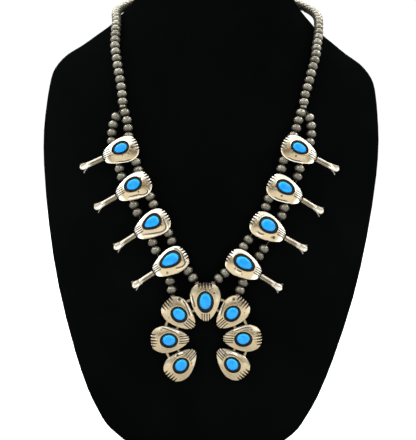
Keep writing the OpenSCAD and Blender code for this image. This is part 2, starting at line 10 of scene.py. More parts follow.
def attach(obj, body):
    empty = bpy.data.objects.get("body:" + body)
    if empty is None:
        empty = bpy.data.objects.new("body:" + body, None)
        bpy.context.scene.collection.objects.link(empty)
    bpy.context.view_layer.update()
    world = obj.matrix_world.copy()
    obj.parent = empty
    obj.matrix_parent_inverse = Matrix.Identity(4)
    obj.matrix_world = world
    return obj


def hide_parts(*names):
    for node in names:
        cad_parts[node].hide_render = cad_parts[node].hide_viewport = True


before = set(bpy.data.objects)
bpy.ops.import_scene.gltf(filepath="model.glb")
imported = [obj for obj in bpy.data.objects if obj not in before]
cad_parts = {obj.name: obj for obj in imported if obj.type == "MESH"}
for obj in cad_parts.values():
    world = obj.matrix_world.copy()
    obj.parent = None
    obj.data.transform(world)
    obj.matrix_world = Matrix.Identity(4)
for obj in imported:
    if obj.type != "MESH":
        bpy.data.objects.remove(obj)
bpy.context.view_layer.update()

MM = 0.001
SIDES = ("left", "right")

# Outlines from the narrow end to the wide end: angle round the outline, share of half the width
HEAD_EGG = ((0, 0.2), (18, 0.41), (45, 0.64), (72, 0.85), (100, 1), (124, 0.96), (146, 0.74), (164, 0.41),
            (180, 0))
LEAF_EGG = ((0, 0.1), (24, 0.28), (50, 0.56), (78, 0.84), (107, 1), (134, 0.86), (154, 0.6), (169, 0.34),
            (180, 0))

# Sizes of the silver work in millimetres, mostly as in the frame. A stone has a length, a width and how
# much narrower it is towards the narrow end. The shares warm and dull are a plate's tone and tarnish.
HEAD = {"egg": HEAD_EGG, "length": 26.4, "width": 18.6, "drop": 1.67, "line_step": 1.4, "warm": 0.0,
        "dull": 0.0}
LEAF = {"egg": LEAF_EGG, "length": 27.4, "width": 20.0, "drop": 0.0, "line_step": 1.7, "warm": 0.8,
        "dull": 0.1, "stone": (10, 8.1, 0)}
TOP_LEAF = {**LEAF, "length": 27.9, "width": 22.0, "stone": (13, 8.9, 0)}
SEAT = 0.525
RIM = 1.3
DOME_ALONG = 36.0
DOME_ACROSS = 0.49 * DOME_ALONG
FLOOR_OF_BOX = 0.8
STONE_BASE = 0.9
STONE_HEIGHT = 2.5
STONE_PLAY = 0.1
STONE_MARGIN = 1.15
MARGIN_WEAR = 0.45
POLISH_RADIUS = 12.0
BEZEL_WALL = 0.35
BEZEL_HEIGHT = 1.3
FILE_START = 0.4
NOTCHES = 5
NOTCH_STEP = 2.15
NOTCH_BITE = 0.8
NOTCH_SHARE = 0.4
END_ROUND = 0.63
LINES = 4
# Depth and half width of what is cut into a plate, and of the bites that notches and lines take out of
# its rim. A crease has a swell beside it, and a plate is hollowed a little on its lower side.
LINE_DEPTH, LINE_HALF = 0.4, 0.5
RIM_BITE, RIM_BITE_HALF = 1.4 * NOTCH_BITE, 0.65
RIM_NICK, RIM_NICK_HALF = 0.8, 0.6
CREASE_DEPTH, CREASE_HALF, CREASE_SWELL = 0.45, 0.95, 0.3
STAMP_DEPTH = 0.25
HOLLOW = 0.3
# Corners round a plate
PLATE_CORNERS = 288
STEM_LENGTH = 12.6
STEM_WIDTH = 3.6
STEM_RIDGES = 10
STEM_LIFT = 0.36 * STEM_WIDTH
PETAL_LENGTH = 5.6
PETAL_CURVE = 1.15 * PETAL_LENGTH
PETAL_WALL = 0.6
PETAL_SHEET = 0.45
TUBE_WIDTH = 3.2
TUBE_BORE = 1.6
TUBE_LENGTH = 13.4
TUBE_SHIFT = 0.16
TUBE_PLACES = (0.24, -0.25)
TUBE_DROP = 3.92
WEB = 1.2
LEAF_STEP = 45.4
RING_RADIUS = 26.4
TOP_OUT = 1.1
WIRE = 2.4
WIRE_RADII = (30.0, 21.8)
WIRE_SUNK = 0.4
WIRE_SHOWN = 0.42 * WIRE
WIRE_PAST_LEAVES = 16
END_TUBES = ((7.7, 1.46, 32), (38, 1.39, 18))
END_TUBE_LENGTH = 4.0
BEAD_WIDTH = 7.0
BEAD_LENGTH = 5.5
BEAD_BORE = 1.6

# Shares of the way from a plate's opening to its rim at which its rings lie, from the rim inwards
PLATE_SHARES = (1, 0.98, 0.95, 0.91, 0.87, 0.82, 0.77, 0.72, 0.67, 0.62, 0.57, 0.52, 0.47, 0.42, 0.37, 0.32,
                0.26, 0.2, 0.14, 0.08, 0.04, 0)

# A stone from its base up: share of its outline, share of its height
STONE_STEPS = ((0.97, 0), (1, 0.08), (1, 0.5), (0.99, 0.72), (0.965, 0.86), (0.93, 0.93), (0.87, 0.97),
               (0.78, 0.99), (0.64, 1), (0.48, 1), (0.32, 1), (0.16, 1))

# A bead from pole to pole in radians: the rings up to its seam, then the seam as angle, how far it is
# pressed in, and tarnish
BEAD_ANGLES = (-1.3, -1.05, -0.8, -0.55, -0.38)
BEAD_SEAM = ((-0.27, 0.0, 0.15), (-0.21, 0.06, 0.5), (-0.15, 0.02, 0.45), (-0.11, -0.1, 0.0),
             (0.11, -0.1, 0.0), (0.15, 0.02, 0.6), (0.21, 0.06, 0.7), (0.27, 0.0, 0.2))

# The ring where a string divides and the clasp, turned round an axis: radius, height, tarnish
RING_PROFILE = ((1.2, -0.6, 0.9), (1.5, -0.8, 0.5), (2.1, -0.78, 0.3), (2.35, -0.4, 0.2), (2.4, 0, 0.1),
                (2.35, 0.4, 0.2), (2.1, 0.78, 0.3), (1.5, 0.8, 0.5), (1.2, 0.6, 0.9), (1.2, -0.6, 0.9))
CLASP_PROFILE = ((0.8, -6, 1), (1.9, -6, 0.5), (2.1, -5.8, 0.3), (2.2, -5.3, 0.2), (1.95, -4.9, 0.9),
                 (2.3, -4.6, 0.3), (2.48, -4, 0.1), (2.5, -2, 0), (2.5, -0.35, 0.1), (2.36, -0.2, 0.9),
                 (2.36, 0.2, 0.9), (2.5, 0.35, 0.1), (2.5, 2, 0), (2.48, 4, 0.1), (2.3, 4.6, 0.3),
                 (1.95, 4.9, 0.9), (2.2, 5.3, 0.2), (2.1, 5.8, 0.3), (1.9, 6, 0.5), (0.8, 6, 1), (0.8, -6, 1))

# Petals of a stem: turn round it, width, bend in degrees, and tarnish, which on the two side petals is tarnish
# and painted shade
PETALS = ((0, 4.1, 22, 0.0), (115, 1.2, 44, 0.9), (-115, 1.1, 42, 0.72))

# Each blossom from the top down, left then right: turn of its stem, its stone, its crease as directions
# round the opening with how far out it lies there, and its stamps as x, y, radius and depth.
BLOSSOMS = (
    ((3, (10.44, 6.51, 0.12), ((-128, 0.82), (-95, 0.86), (-60, 0.86)),
      ((8.2, -2.6, 1.1, 0.75), (4.4, -5.6, 0.5, 0.8), (-0.2, -5.2, 0.45, 0.8))),
     (1.5, (10.8, 7.4, 0.08),
      ((-142, 0.56), (-112, 0.54), (-88, 0.55), (-66, 0.82), (-52, 0.8), (-41, 0.5), (-36, 0.3)),
      ((7.2, 1.6, 0.6, 0.5), (1.3, -6.3, 0.5, 0.8))),
     (2, (12, 7.4, 0.3),
      ((-160, 0.5), (-122, 0.53), (-88, 0.6), (-64, 0.74), (-45, 0.58), (-29, 0.31), (-5, 0.2)),
      ((5.1, -4.9, 0.7, 0.7),)),
     (2.5, (13.8, 7.99, 0.25),
      ((-92, 0.25), (-70, 0.42), (-48, 0.6), (-17, 0.3), (8, 0.24), (34, 0.34), (48, 0.5)),
      ((-6.2, -6.8, 0.7, 0.6), (9.4, -6.9, 0.5, 0.5)))),
    ((0.5, (10.92, 6.51, 0.12), ((-130, 0.8), (-95, 0.84), (-60, 0.8)),
      ((5.4, -3.7, 0.75, 0.8), (3.4, -4.9, 0.6, 0.7), (0.2, -6.5, 0.6, 0.75), (-7.4, -3.2, 0.5, 0.5))),
     (1.5, (11.76, 6.96, 0.1), ((-134, 0.78), (-95, 0.82), (-62, 0.8)),
      ((6.6, -3.2, 0.7, 0.7), (5.2, -4.6, 0.5, 0.6), (-0.4, -6.6, 0.6, 0.75))),
     (-1.5, (11.76, 8.29, 0.08), ((-100, 0.16), (-84, 0.4), (-66, 0.46), (-52, 0.36)),
      ((-7.4, -5.6, 0.9, 0.85), (-5.9, -6.4, 0.45, 0.6), (8.4, 1.2, 0.4, 0.7), (8.0, 3.1, 0.4, 0.7),
       (7.0, 4.6, 0.4, 0.6))),
     (0, (13.56, 7.77, 0.12), ((-112, 0.16), (-90, 0.22), (-66, 0.18)),
      ((3.6, -6.6, 0.5, 0.55), (-2.4, -7.4, 0.45, 0.4)))))

# Creases and stamps of the crescent's leaves, from the lower left round to the lower right
UPPER_CREASE = ((-150, 0.42), (-125, 0.4), (-95, 0.5), (-70, 0.74), (-53, 0.86))
LEAVES = (
    (((-160, 0.55), (-140, 0.5), (-118, 0.46), (-100, 0.5)),
     ((-3.9, -6.9, 0.8, 0.85), (-8.6, -4.9, 0.7, 0.7), (-6.5, 4.2, 0.4, 0.6))),
    (UPPER_CREASE, ((-8.6, -2.6, 0.5, 0.6), (5.2, -7.4, 0.5, 0.6))),
    (UPPER_CREASE, ((7.2, -7.9, 1.0, 0.8), (6.9, -2.6, 0.45, 0.75), (3.4, 6.8, 0.4, 0.5))),
    (((55, 0.8), (72, 0.62), (95, 0.52), (125, 0.6)),
     ((6.2, -6.3, 0.7, 0.8), (9.3, 2.7, 0.55, 0.8), (8.8, -0.8, 0.55, 0.8), (8.6, -3.2, 0.55, 0.8),
      (7.2, -4.8, 0.5, 0.7))),
    (((70, 0.86), (95, 0.7), (125, 0.5), (150, 0.45)),
     ((8.0, 6.2, 0.9, 0.8), (6.9, 2.0, 0.5, 0.7), (6.4, -5.8, 0.4, 0.5))),
    (((145, 0.66), (118, 0.52), (95, 0.6), (70, 0.66), (52, 0.8)),
     ((-7.6, 4.4, 0.5, 0.7), (-6.2, 2.4, 0.45, 0.7), (5.4, 6.6, 0.7, 0.7))),
    (((165, 0.4), (140, 0.36), (118, 0.3), (100, 0.24)), ((-9.2, 1.6, 0.6, 0.6), (-5.4, 4.6, 0.4, 0.6))))


# Small helpers

def smooth(low, high, value):
    """0 below low, 1 above high, and a soft rise between them."""
    t = min(max((value - low) / (high - low), 0.0), 1.0)
    return t * t * (3 - 2 * t)


def groove(distance, half_width):
    """Depth from 1 to 0 of a V cut at a distance from its middle."""
    return max(0.0, 1 - abs(distance) / half_width)


def along(table, value):
    """A value read off a table of (place, value) rows, with smooth joins."""
    last = len(table) - 1
    k = max(i for i in range(last) if i == 0 or table[i][0] <= value)
    t = (value - table[k][0]) / (table[k + 1][0] - table[k][0])
    p, q = table[k][1], table[k + 1][1]
    m = (q - table[max(k - 1, 0)][1]) / 2
    n = (table[min(k + 2, last)][1] - p) / 2
    return ((2 * t**3 - 3 * t**2 + 1) * p + (t**3 - 2 * t**2 + t) * m
            + (3 * t**2 - 2 * t**3) * q + (t**3 - t**2) * n)


def turned(angle, axis="Z"):
    return Matrix.Rotation(math.radians(angle), 4, axis)


def moved(x, y, z):
    return Matrix.Translation(Vector((x, y, z)) * MM)


class Work:
    """A piece while it is made: its mesh and, for each corner, its darkness from tarnish and painted shade and
    its warm tone, which carries painted shade too.
    """

    def __init__(self, name):
        self.name = name
        self.mesh = bmesh.new()
        self.number = self.mesh.verts.layers.int.new("corner")
        self.tarnish_and_shade = self.mesh.verts.layers.float.new("tarnish_and_shade")
        self.tone = self.mesh.verts.layers.float.new("tone")

    def rings(self, count, steps, place, close=False, tone=0.3):
        """A skin lofted through rings. A step takes a corner's number and gives x, y and z in millimetres,
        its darkness from tarnish and painted shade, and its tone where that changes. A step that is a point ends
        the skin in a pole."""
        ring = bmesh.ops.create_circle(self.mesh, cap_ends=False, segments=count, radius=1)["verts"]
        ring.sort(key=lambda v: (math.atan2(v.co.y, v.co.x) + 0.01) % (2 * math.pi))
        for i, corner in enumerate(ring):
            corner[self.number] = i
        first = list(ring)
        edges = first_edges = list({e for v in first for e in v.link_edges})
        self._put(ring, steps[0], place, tone)
        for step in steps[1:]:
            grown = bmesh.ops.extrude_edge_only(self.mesh, edges=edges)["geom"]
            ring = [v for v in grown if isinstance(v, bmesh.types.BMVert)]
            if isinstance(step, tuple):
                for v in ring:
                    v[self.tarnish_and_shade], v[self.tone] = step[3], tone
                bmesh.ops.pointmerge(self.mesh, verts=ring, merge_co=place @ (MM * Vector(step[:3])))
                break
            fresh = set(ring)
            edges = [e for e in grown
                     if isinstance(e, bmesh.types.BMEdge) and all(v in fresh for v in e.verts)]
            self._put(ring, step, place, tone)
        if close:
            bmesh.ops.remove_doubles(self.mesh, verts=first + ring, dist=1e-7)
        else:
            bmesh.ops.contextual_create(self.mesh, geom=first_edges)

    def _put(self, ring, step, place, tone):
        for v in ring:
            x, y, z, dark, *warm = step(v[self.number])
            v.co = place @ (MM * Vector((x, y, z)))
            v[self.tarnish_and_shade], v[self.tone] = dark, warm[0] if warm else tone

    def finish(self, materials, slot, nodes, smooth_angle=35):
        """Shades the piece and hands it to the frame."""
        bmesh.ops.recalc_face_normals(self.mesh, faces=self.mesh.faces)
        for face in self.mesh.faces:
            face.smooth = True
        for edge in self.mesh.edges:
            if len(edge.link_faces) == 2 and edge.calc_face_angle(0) > math.radians(smooth_angle):
                edge.smooth = False
        data = bpy.data.meshes.new(self.name)
        self.mesh.to_mesh(data)
        self.mesh.free()
        piece = bpy.data.objects.new(self.name, data)
        bpy.context.scene.collection.objects.link(piece)
        for material in materials:
            data.materials.append(material)
        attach(piece, "root")
        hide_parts(*nodes)


# Where things lie in the frame

def spread(corners, triangles):
    """Middle of a surface and the axes of its spread, from the widest to the narrowest."""
    a, b, c = (corners[triangles[:, i]] for i in range(3))
    area = np.linalg.norm(np.cross(b - a, c - a), axis=1) / 2
    middle = ((a + b + c) / 3 * area[:, None]).sum(0) / area.sum()
    a, b, c = a - middle, b - middle, c - middle
    total = a + b + c
    moment = sum(np.einsum("n,ni,nj->ij", area / 12, v, v) for v in (a, b, c, total)) / area.sum()
    values, axes = np.linalg.eigh(moment)
    return Vector(middle), values[::-1], [Vector(axes[:, i]) for i in (2, 1, 0)]


def loose_parts(node):
    """The loose solids of a CAD node, each as arrays of corners and triangles."""
    shell = bmesh.new()
    shell.from_mesh(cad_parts[node].data)
    bmesh.ops.remove_doubles(shell, verts=shell.verts, dist=1e-6)
    bmesh.ops.triangulate(shell, faces=shell.faces)
    seen, parts = set(), []
    for start in shell.verts:
        if start in seen:
            continue
        group, edge = [], [start]
        seen.add(start)
        while edge:
            v = edge.pop()
            group.append(v)
            for e in v.link_edges:
                other = e.other_vert(v)
                if other not in seen:
                    seen.add(other)
                    edge.append(other)
        index = {v: i for i, v in enumerate(group)}
        triangles = np.array([[index[v] for v in f.verts] for f in {f for v in group for f in v.link_faces}])
        parts.append((np.array([v.co for v in group]), triangles))
    shell.free()
    return parts


def stone_frame(node, wide, mirrored):
    """Frame of the setting under a stone, read off the stone's flat base: +X points to the wide end and
    +Z away from the bust."""
    corners, triangles = loose_parts(node)[0]
    middle, _, axes = spread(corners, triangles)
    a, b, c = (corners[triangles[:, i]] for i in range(3))
    normals = np.cross(b - a, c - a)
    away = axes[2] * (-1 if axes[2].y > 0 else 1)
    slant = np.abs(normals @ np.array(away)) / np.linalg.norm(normals, axis=1)
    low = ((a + b + c) / 3 - np.array(middle)) @ np.array(away) < 0
    base = triangles[(slant > 0.9) & low]
    centre, _, axes = spread(corners, base)
    z = axes[2] * (1 if axes[2].dot(away) > 0 else -1)
    x = axes[0] * (1 if axes[0].dot(wide(centre)) > 0 else -1)
    y = z.cross(x) * (-1 if mirrored else 1)
    rim = corners[np.unique(base)]
    reach = [rim @ np.array(axis) for axis in (x, y)]
    origin = (centre.dot(z) - STONE_BASE * MM) * z
    for r, axis in zip(reach, (x, y)):
        origin += float(r.min() + r.max()) / 2 * axis
    return Matrix(((x.x, y.x, z.x, origin.x), (x.y, y.y, z.y, origin.y),
                   (x.z, y.z, z.z, origin.z), (0, 0, 0, 1)))


def strung(node):
    """Beads of a string: middle, axis, and whether it is the ring where the string divides."""
    found = []
    for corners, triangles in loose_parts(node):
        middle, values, axes = spread(corners, triangles)
        axis = axes[0 if values[0] - values[1] > values[1] - values[2] else 2]
        reach = max((Vector(c) - middle).cross(axis).length for c in corners)
        found.append((middle, axis, reach < 0.45 * BEAD_WIDTH * MM))
    return sorted(found, key=lambda bead: (round(bead[0].z, 4), bead[0].x))


# Finishes

class Level:
    """A number or colour that changes over a surface, with the usual operators."""

    def __init__(self, finish, socket):
        self.finish = finish
        self.socket = socket

    def _with(self, operation, first, second):
        return self.finish.node("ShaderNodeMath", {"operation": operation}, {0: first, 1: second})

    def __add__(self, other):
        return self._with("ADD", self, other)

    def __mul__(self, other):
        return self._with("MULTIPLY", self, other)

    def __rsub__(self, other):
        return self._with("SUBTRACT", other, self)

    def capped(self):
        return self.finish.node("ShaderNodeClamp", {}, {"Value": self})


class Finish:
    """A material made of nodes round one Principled shader."""

    def __init__(self, name, **sockets):
        self.material = bpy.data.materials.new(name)
        self.material.use_nodes = True
        self.tree = self.material.node_tree
        self.shader = next(n for n in self.tree.nodes if n.type == "BSDF_PRINCIPLED")
        for socket, value in sockets.items():
            self.shader.inputs[socket.replace("_", " ")].default_value = value
        self.place = self.node("ShaderNodeTexCoord", {}, {}, "Object")

    def node(self, kind, settings, sockets, out=0):
        made = self.tree.nodes.new(kind)
        for setting, value in settings.items():
            setattr(made, setting, value)
        for socket, value in sockets.items():
            if isinstance(value, Level):
                self.tree.links.new(value.socket, made.inputs[socket])
            else:
                made.inputs[socket].default_value = value
        return Level(self, made.outputs[out])

    def noise(self, scale, detail=3.0, roughness=0.5, distortion=0.0):
        return self.node("ShaderNodeTexNoise", {}, {"Vector": self.place, "Scale": scale, "Detail": detail,
                                                    "Roughness": roughness, "Distortion": distortion})

    def rise(self, level, low, high):
        return self.node("ShaderNodeMapRange", {"interpolation_type": "SMOOTHSTEP"},
                         {"Value": level, "From Min": low, "From Max": high})

    def blend(self, factor, first, second):
        return self.node("ShaderNodeMix", {"data_type": "RGBA"}, {0: factor, 6: first, 7: second}, 2)

    def attribute(self, name):
        return self.node("ShaderNodeAttribute", {"attribute_name": name}, {}, "Fac")

    def feed(self, **levels):
        for socket, level in levels.items():
            self.tree.links.new(level.socket, self.shader.inputs[socket.replace("_", " ")])

    def bump(self, height, strength, distance):
        self.feed(Normal=self.node("ShaderNodeBump", {}, {"Height": height, "Strength": strength,
                                                          "Distance": distance * MM}))


def silver_finish(name, light, warm, black, polish, grime, metal):
    """Worn silver: bright where it is rubbed, warm in the thin tarnish and in painted shade, and black in the
    recesses and in painted shade.
    """
    silver = Finish(name, IOR=1.5)
    clouds = silver.noise(210, 4, 0.6)
    specks = silver.noise(1400, 3, 0.6)
    # The tarnish attribute holds real tarnish and painted shade; the tone holds real tone and painted shade.
    dark = (silver.attribute("tarnish_and_shade") + (silver.rise(specks, 0.58, 0.78) * grime)).capped()
    warmth = (silver.attribute("tone") + silver.rise(clouds, 0.4, 0.75) * 0.28).capped()
    silver.feed(Base_Color=silver.blend(dark, silver.blend(warmth, light, warm), black),
                Roughness=(clouds * 0.12 + polish + dark * 0.35).capped(),
                Metallic=(metal - dark * 0.75).capped())
    silver.bump(silver.noise(900, 4, 0.6) + specks * 0.4, 0.22, 0.05)
    return silver.material


def turquoise_finish():
    """Polished sky-blue stone with soft clouds, a few darker spots and a painted highlight along its upper edge.
    """
    stone = Finish("turquoise", Roughness=0.3, IOR=1.5, Specular_IOR_Level=0.22, Coat_Weight=0.06,
                   Coat_Roughness=0.08)
    clouds = stone.rise(stone.noise(260, 4, 0.6, 0.3), 0.3, 0.72)
    spots = stone.rise(stone.noise(700, 3, 0.55), 0.62, 0.74)
    blue = stone.blend(clouds, (0.001, 0.20, 0.62, 1), (0.002, 0.27, 0.70, 1))
    # The tone lightens the blue: a painted highlight along the stone's upper edge.
    blue = stone.blend(stone.attribute("tone"), blue, (0.03, 0.50, 0.84, 1))
    stone.feed(Base_Color=stone.blend(spots * 0.4, blue, (0.008, 0.2, 0.5, 1)))
    stone.bump(stone.noise(500, 2), 0.06, 0.05)
    return stone.material


def velvet_finish():
    """Black velvet: no shine of its own and a faint pile."""
    velvet = Finish("velvet", Roughness=1.0, Specular_IOR_Level=0.0)
    nap = velvet.rise(velvet.noise(14, 3, 0.5, 0.5), 0.3, 0.7)
    pile = velvet.noise(2600, 2, 0.6)
    velvet.feed(Base_Color=velvet.blend(nap * 0.5 + pile * 0.4, (0.0009, 0.0011, 0.0011, 1),
                                        (0.0018, 0.0021, 0.0021, 1)))
    velvet.bump(pile + nap * 0.3, 0.6, 0.25)
    return velvet.material


def thread_finish():
    """Dark waxed thread with a twist."""
    thread = Finish("thread", Roughness=0.7)
    twist = thread.node("ShaderNodeTexWave", {"bands_direction": "DIAGONAL"},
                        {"Vector": thread.place, "Scale": 900.0})
    thread.feed(Base_Color=thread.blend(twist, (0.012, 0.010, 0.008, 1), (0.035, 0.03, 0.024, 1)))
    thread.bump(twist, 0.5, 0.1)
    return thread.material


def floor_finish():
    floor = Finish("pale_floor", Roughness=0.9, Specular_IOR_Level=0.1)
    floor.feed(Base_Color=floor.blend(floor.noise(3, 2), (0.9, 0.9, 0.89, 1), (0.94, 0.94, 0.93, 1)))
    return floor.material


SILVER = silver_finish("silver", light=(0.86, 0.83, 0.74, 1), warm=(0.37, 0.305, 0.20, 1),
                       black=(0.010, 0.009, 0.008, 1), polish=0.17, grime=0.1, metal=1.0)
BEAD_SILVER = silver_finish("bead_silver", light=(0.33, 0.32, 0.265, 1), warm=(0.155, 0.14, 0.105, 1),
                            black=(0.022, 0.018, 0.013, 1), polish=0.09, grime=0.45, metal=0.9)
TURQUOISE = turquoise_finish()
VELVET = velvet_finish()
THREAD = thread_finish()


# Shadowbox heads and leaves

def reach_of(points):
    """How far a closed outline lies from the middle, for directions round it."""
    polar = sorted((math.atan2(y, x), math.hypot(x, y)) for x, y in points)
    angles = [polar[-1][0] - 2 * math.pi] + [p[0] for p in polar] + [polar[0][0] + 2 * math.pi]
    reaches = [polar[-1][1]] + [p[1] for p in polar] + [polar[0][1]]
    return lambda angle: float(np.interp(math.remainder(angle, 2 * math.pi), angles, reaches))


def egg(shape):
    """Outline of a head or leaf round the middle of its opening."""
    length, half = shape["length"], shape["width"] / 2
    return [(length * ((1 - math.cos(math.radians(a))) / 2 - SEAT),
             side * half * along(shape["egg"], a) - shape["drop"])
            for side in (1, -1) for a in range(0 if side == 1 else 3, 181, 3)]


def oval(length, width, taper):
    """Outline of a stone, narrower towards -X."""
    turns = [math.radians(a) for a in range(0, 360, 4)]
    return [(length / 2 * math.cos(a), width / 2 * math.sin(a) * (1 + taper * math.cos(a))) for a in turns]


def even_turns(reach, count):
    """Directions that cut the outline into stretches of even length."""
    fine = [2 * math.pi * i / 1440 for i in range(1441)]
    rim = [(reach(a) * math.cos(a), reach(a) * math.sin(a)) for a in fine]
    length = [0.0]
    for (x, y), (u, v) in zip(rim, rim[1:]):
        length.append(length[-1] + math.hypot(u - x, v - y))
    return [float(np.interp(length[-1] * i / count, length, fine)) for i in range(count)]


def crease_level(crease):
    """How far out a crease lies in a direction, or None where there is none, and how deep it is there."""
    rows = sorted(crease)

    def level(turn):
        angle = math.degrees(math.remainder(turn, 2 * math.pi))
        if not rows[0][0] <= angle <= rows[-1][0]:
            return None, 0.0
        fade = smooth(0, 14, min(angle - rows[0][0], rows[-1][0] - angle))
        return along(rows, angle), fade
    return level


def shadowbox(work, place, shape, crease, stamps, seed):
    """A domed plate with filed notches and lines round an opening, its dark recess and its bezel."""
    pick = random.Random(seed)
    long_stone, wide_stone, taper = shape["stone"]
    outline = reach_of(egg(shape))
    gap = 2 * (STONE_MARGIN + MARGIN_WEAR)
    opening = reach_of(oval(long_stone + gap, wide_stone + gap, taper))
    turns = even_turns(outline, PLATE_CORNERS)
    drop = shape["drop"]
    top = RIM + shape["width"] ** 2 / 8 / DOME_ACROSS
    start = long_stone / 2 + STONE_MARGIN + FILE_START
    start_high = top - start**2 / 2 / DOME_ALONG
    wide = (1 - SEAT) * shape["length"]
    notches = []
    for i in range(NOTCHES):
        y = (i - (NOTCHES - 1) / 2) * NOTCH_STEP - drop / 2
        far = wide - (y + drop) ** 2 / 2 / END_ROUND / shape["width"] - NOTCH_BITE
        notches.append((y, start_high / (far - start)))
    lines = [((i - (LINES - 1) / 2) * shape["line_step"] + pick.uniform(-0.12, 0.12),
              0.3 - start - pick.uniform(0, 0.9)) for i in range(LINES)]
    crease_at = crease_level(crease)
    up = [(place.to_3x3() @ Vector(v)).normalized().z for v in ((1, 0, 0), (0, 1, 0))]
    levels = []
    for turn in turns:
        c, s = math.cos(turn), math.sin(turn)
        far, near = outline(turn), opening(turn)
        if far * c > 0.6 * wide:
            far -= RIM_BITE * max(groove(far * s - y, RIM_BITE_HALF) for y, _ in notches)
        elif c < 0 and not drop:
            far -= RIM_NICK * max(groove(far * s - y, RIM_NICK_HALF) for y, _ in lines)
        levels.append((c, s, near, far, *crease_at(turn)))

    def dome(x, y):
        across = (DOME_ALONG - DOME_ACROSS) + math.sqrt(DOME_ACROSS**2 - (y + drop) ** 2)
        return top - DOME_ALONG + math.sqrt(across**2 - x**2)

    def surface(t):
        def at(i):
            c, s, near, far, level, fade = levels[i]
            out = near + (far - near) * t
            x, y = out * c, out * s
            height = x * up[0] + y * up[1]
            z = dome(x, y)
            dark = shape["dull"]
            if drop:
                low = smooth(1.0, -3.5, y) * smooth(12.5, 9, abs(x))
            else:
                low = smooth(1.0, -4.5, height)
            z -= HOLLOW * math.sin(math.pi * t) * low
            # Painted shade in the tone: warmer and darker on the plate's lower half and in a ring round its
            # opening.
            warm = shape["warm"] + low * smooth(1.04, 0.92, t) + 0.3 * smooth(0.5, 0.1, t)
            if level is not None:
                past = (t - level) * (far - near)
                cut = groove(past, CREASE_HALF) * fade
                swell = CREASE_SWELL * smooth(-0.2, 0.5, past) * smooth(3.2, 1.0, past)
                z += (swell - CREASE_DEPTH * cut) * fade
                # Painted shade darkens the crease and warms a band inside it; a painted highlight lightens a
                # band just outside it.
                dark = max(dark, 0.9 * smooth(0.1, 0.9, cut))
                warm += (0.45 * smooth(0.0, -1.2, past) * smooth(-3.5, -1.5, past)
                         - 0.5 * smooth(0.1, 0.7, past) * smooth(2.4, 1.2, past)) * fade
            if x > 0:
                for middle, slope in notches:
                    edge = start_high - (x - start) * slope
                    cut = edge + abs(y - middle) / NOTCH_SHARE
                    deep = z - cut
                    if deep > 0:
                        dark = max(dark, smooth(0.05, 1.0, deep) * 0.95)
                        z = cut
            else:
                for middle, end in lines:
                    cut = groove(y - middle, LINE_HALF) * smooth(0, 0.8, end - x)
                    z -= LINE_DEPTH * cut
                    dark = max(dark, smooth(0.05, 0.5, cut))
            for sx, sy, radius, depth in stamps:
                dent = smooth(1.6, 0.75, math.hypot(x - sx, y - sy) / radius)
                z -= STAMP_DEPTH * dent
                dark = max(dark, 1.15 * depth * dent)
            z -= 0.3 * smooth(0.9, 1, t) ** 2 + 0.12 * smooth(0.08, 0, t)
            return x, y, max(z, 0.15), dark, min(max(warm, 0.0), 1.0)
        return at

    def level_ring(t, z, dark, inset=0.0):
        def at(i):
            x, y = surface(t)(i)[:2]
            out = math.hypot(x, y)
            return x * (1 - inset / out), y * (1 - inset / out), z, dark
        return at

    def under(t, depth, dark):
        def at(i):
            x, y, z = surface(t)(i)[:3]
            return x, y, max(z - depth, 0.1), dark
        return at

    steps = [level_ring(1, 0, 0.6, 4.0), level_ring(1, 0, 0.6, 0.2), level_ring(1, 0.08, 0.5),
             under(1, 0.2, 0.2)]
    steps += [surface(t) for t in PLATE_SHARES]
    steps += [under(0, 0.2, 0.9), under(0, 0.6, 1), level_ring(0, FLOOR_OF_BOX, 1), (0, 0, FLOOR_OF_BOX, 1)]
    work.rings(PLATE_CORNERS, steps, place)
    bezel(work, place, shape["stone"], pick)


def bezel(work, place, stone, pick):
    """The thin toothed wall that holds a stone."""
    count = 96
    inside = reach_of(oval(stone[0] + 2 * STONE_PLAY, stone[1] + 2 * STONE_PLAY, stone[2]))
    teeth = [pick.uniform(-0.06, 0.06) + (0.3 if i % 4 < 2 else 0) for i in range(count)]

    def wall(grow, height, dark):
        def at(i):
            a = 2 * math.pi * i / count
            out = inside(a) + grow
            lift = height - (teeth[i] if height > 1 else 0)
            return out * math.cos(a), out * math.sin(a), FLOOR_OF_BOX + lift, dark
        return at

    work.rings(count, [wall(0, -0.2, 1), wall(0, BEZEL_HEIGHT, 1), wall(0.12, BEZEL_HEIGHT + 0.03, 0.93),
                       wall(BEZEL_WALL, BEZEL_HEIGHT - 0.35, 1), wall(BEZEL_WALL, -0.2, 1), wall(0, -0.2, 1)],
               place, close=True)


def cabochon(node, place, stone, seed):
    """A polished stone, a little uneven in outline, with a painted highlight along its upper edge."""
    pick = random.Random(seed)
    work = Work(f"{node}_turquoise")
    phase = [pick.uniform(0, 6) for _ in range(3)]
    count = 64
    outline = reach_of(oval(*stone))
    up = [(place.to_3x3() @ Vector(v)).normalized().z for v in ((1, 0, 0), (0, 1, 0))]

    def ring(share, rise):
        def at(i):
            a = 2 * math.pi * i / count
            uneven = 0.95 - 0.012 * (1 + math.sin(2 * a + phase[0])) - 0.01 * (1 + math.sin(3 * a + phase[1]))
            x, y = (outline(a) * share * uneven * f for f in (math.cos(a), math.sin(a)))
            cap = STONE_HEIGHT - POLISH_RADIUS + math.sqrt(POLISH_RADIUS**2 - x * x - y * y)
            # Painted highlight: the tone rises near the rim on the side that faces up.
            lit = smooth(-0.3, 0.8, math.cos(a) * up[0] + math.sin(a) * up[1])
            return x, y, STONE_BASE + cap * rise, 0.0, 0.75 * lit * smooth(0.6, 0.92, share)
        return at

    work.rings(count, [ring(*step) for step in STONE_STEPS] + [(0, 0, STONE_BASE + STONE_HEIGHT, 0.0)],
               place, tone=0.0)
    work.finish([TURQUOISE], "turquoise", [node])


# Stems, petals and tubes

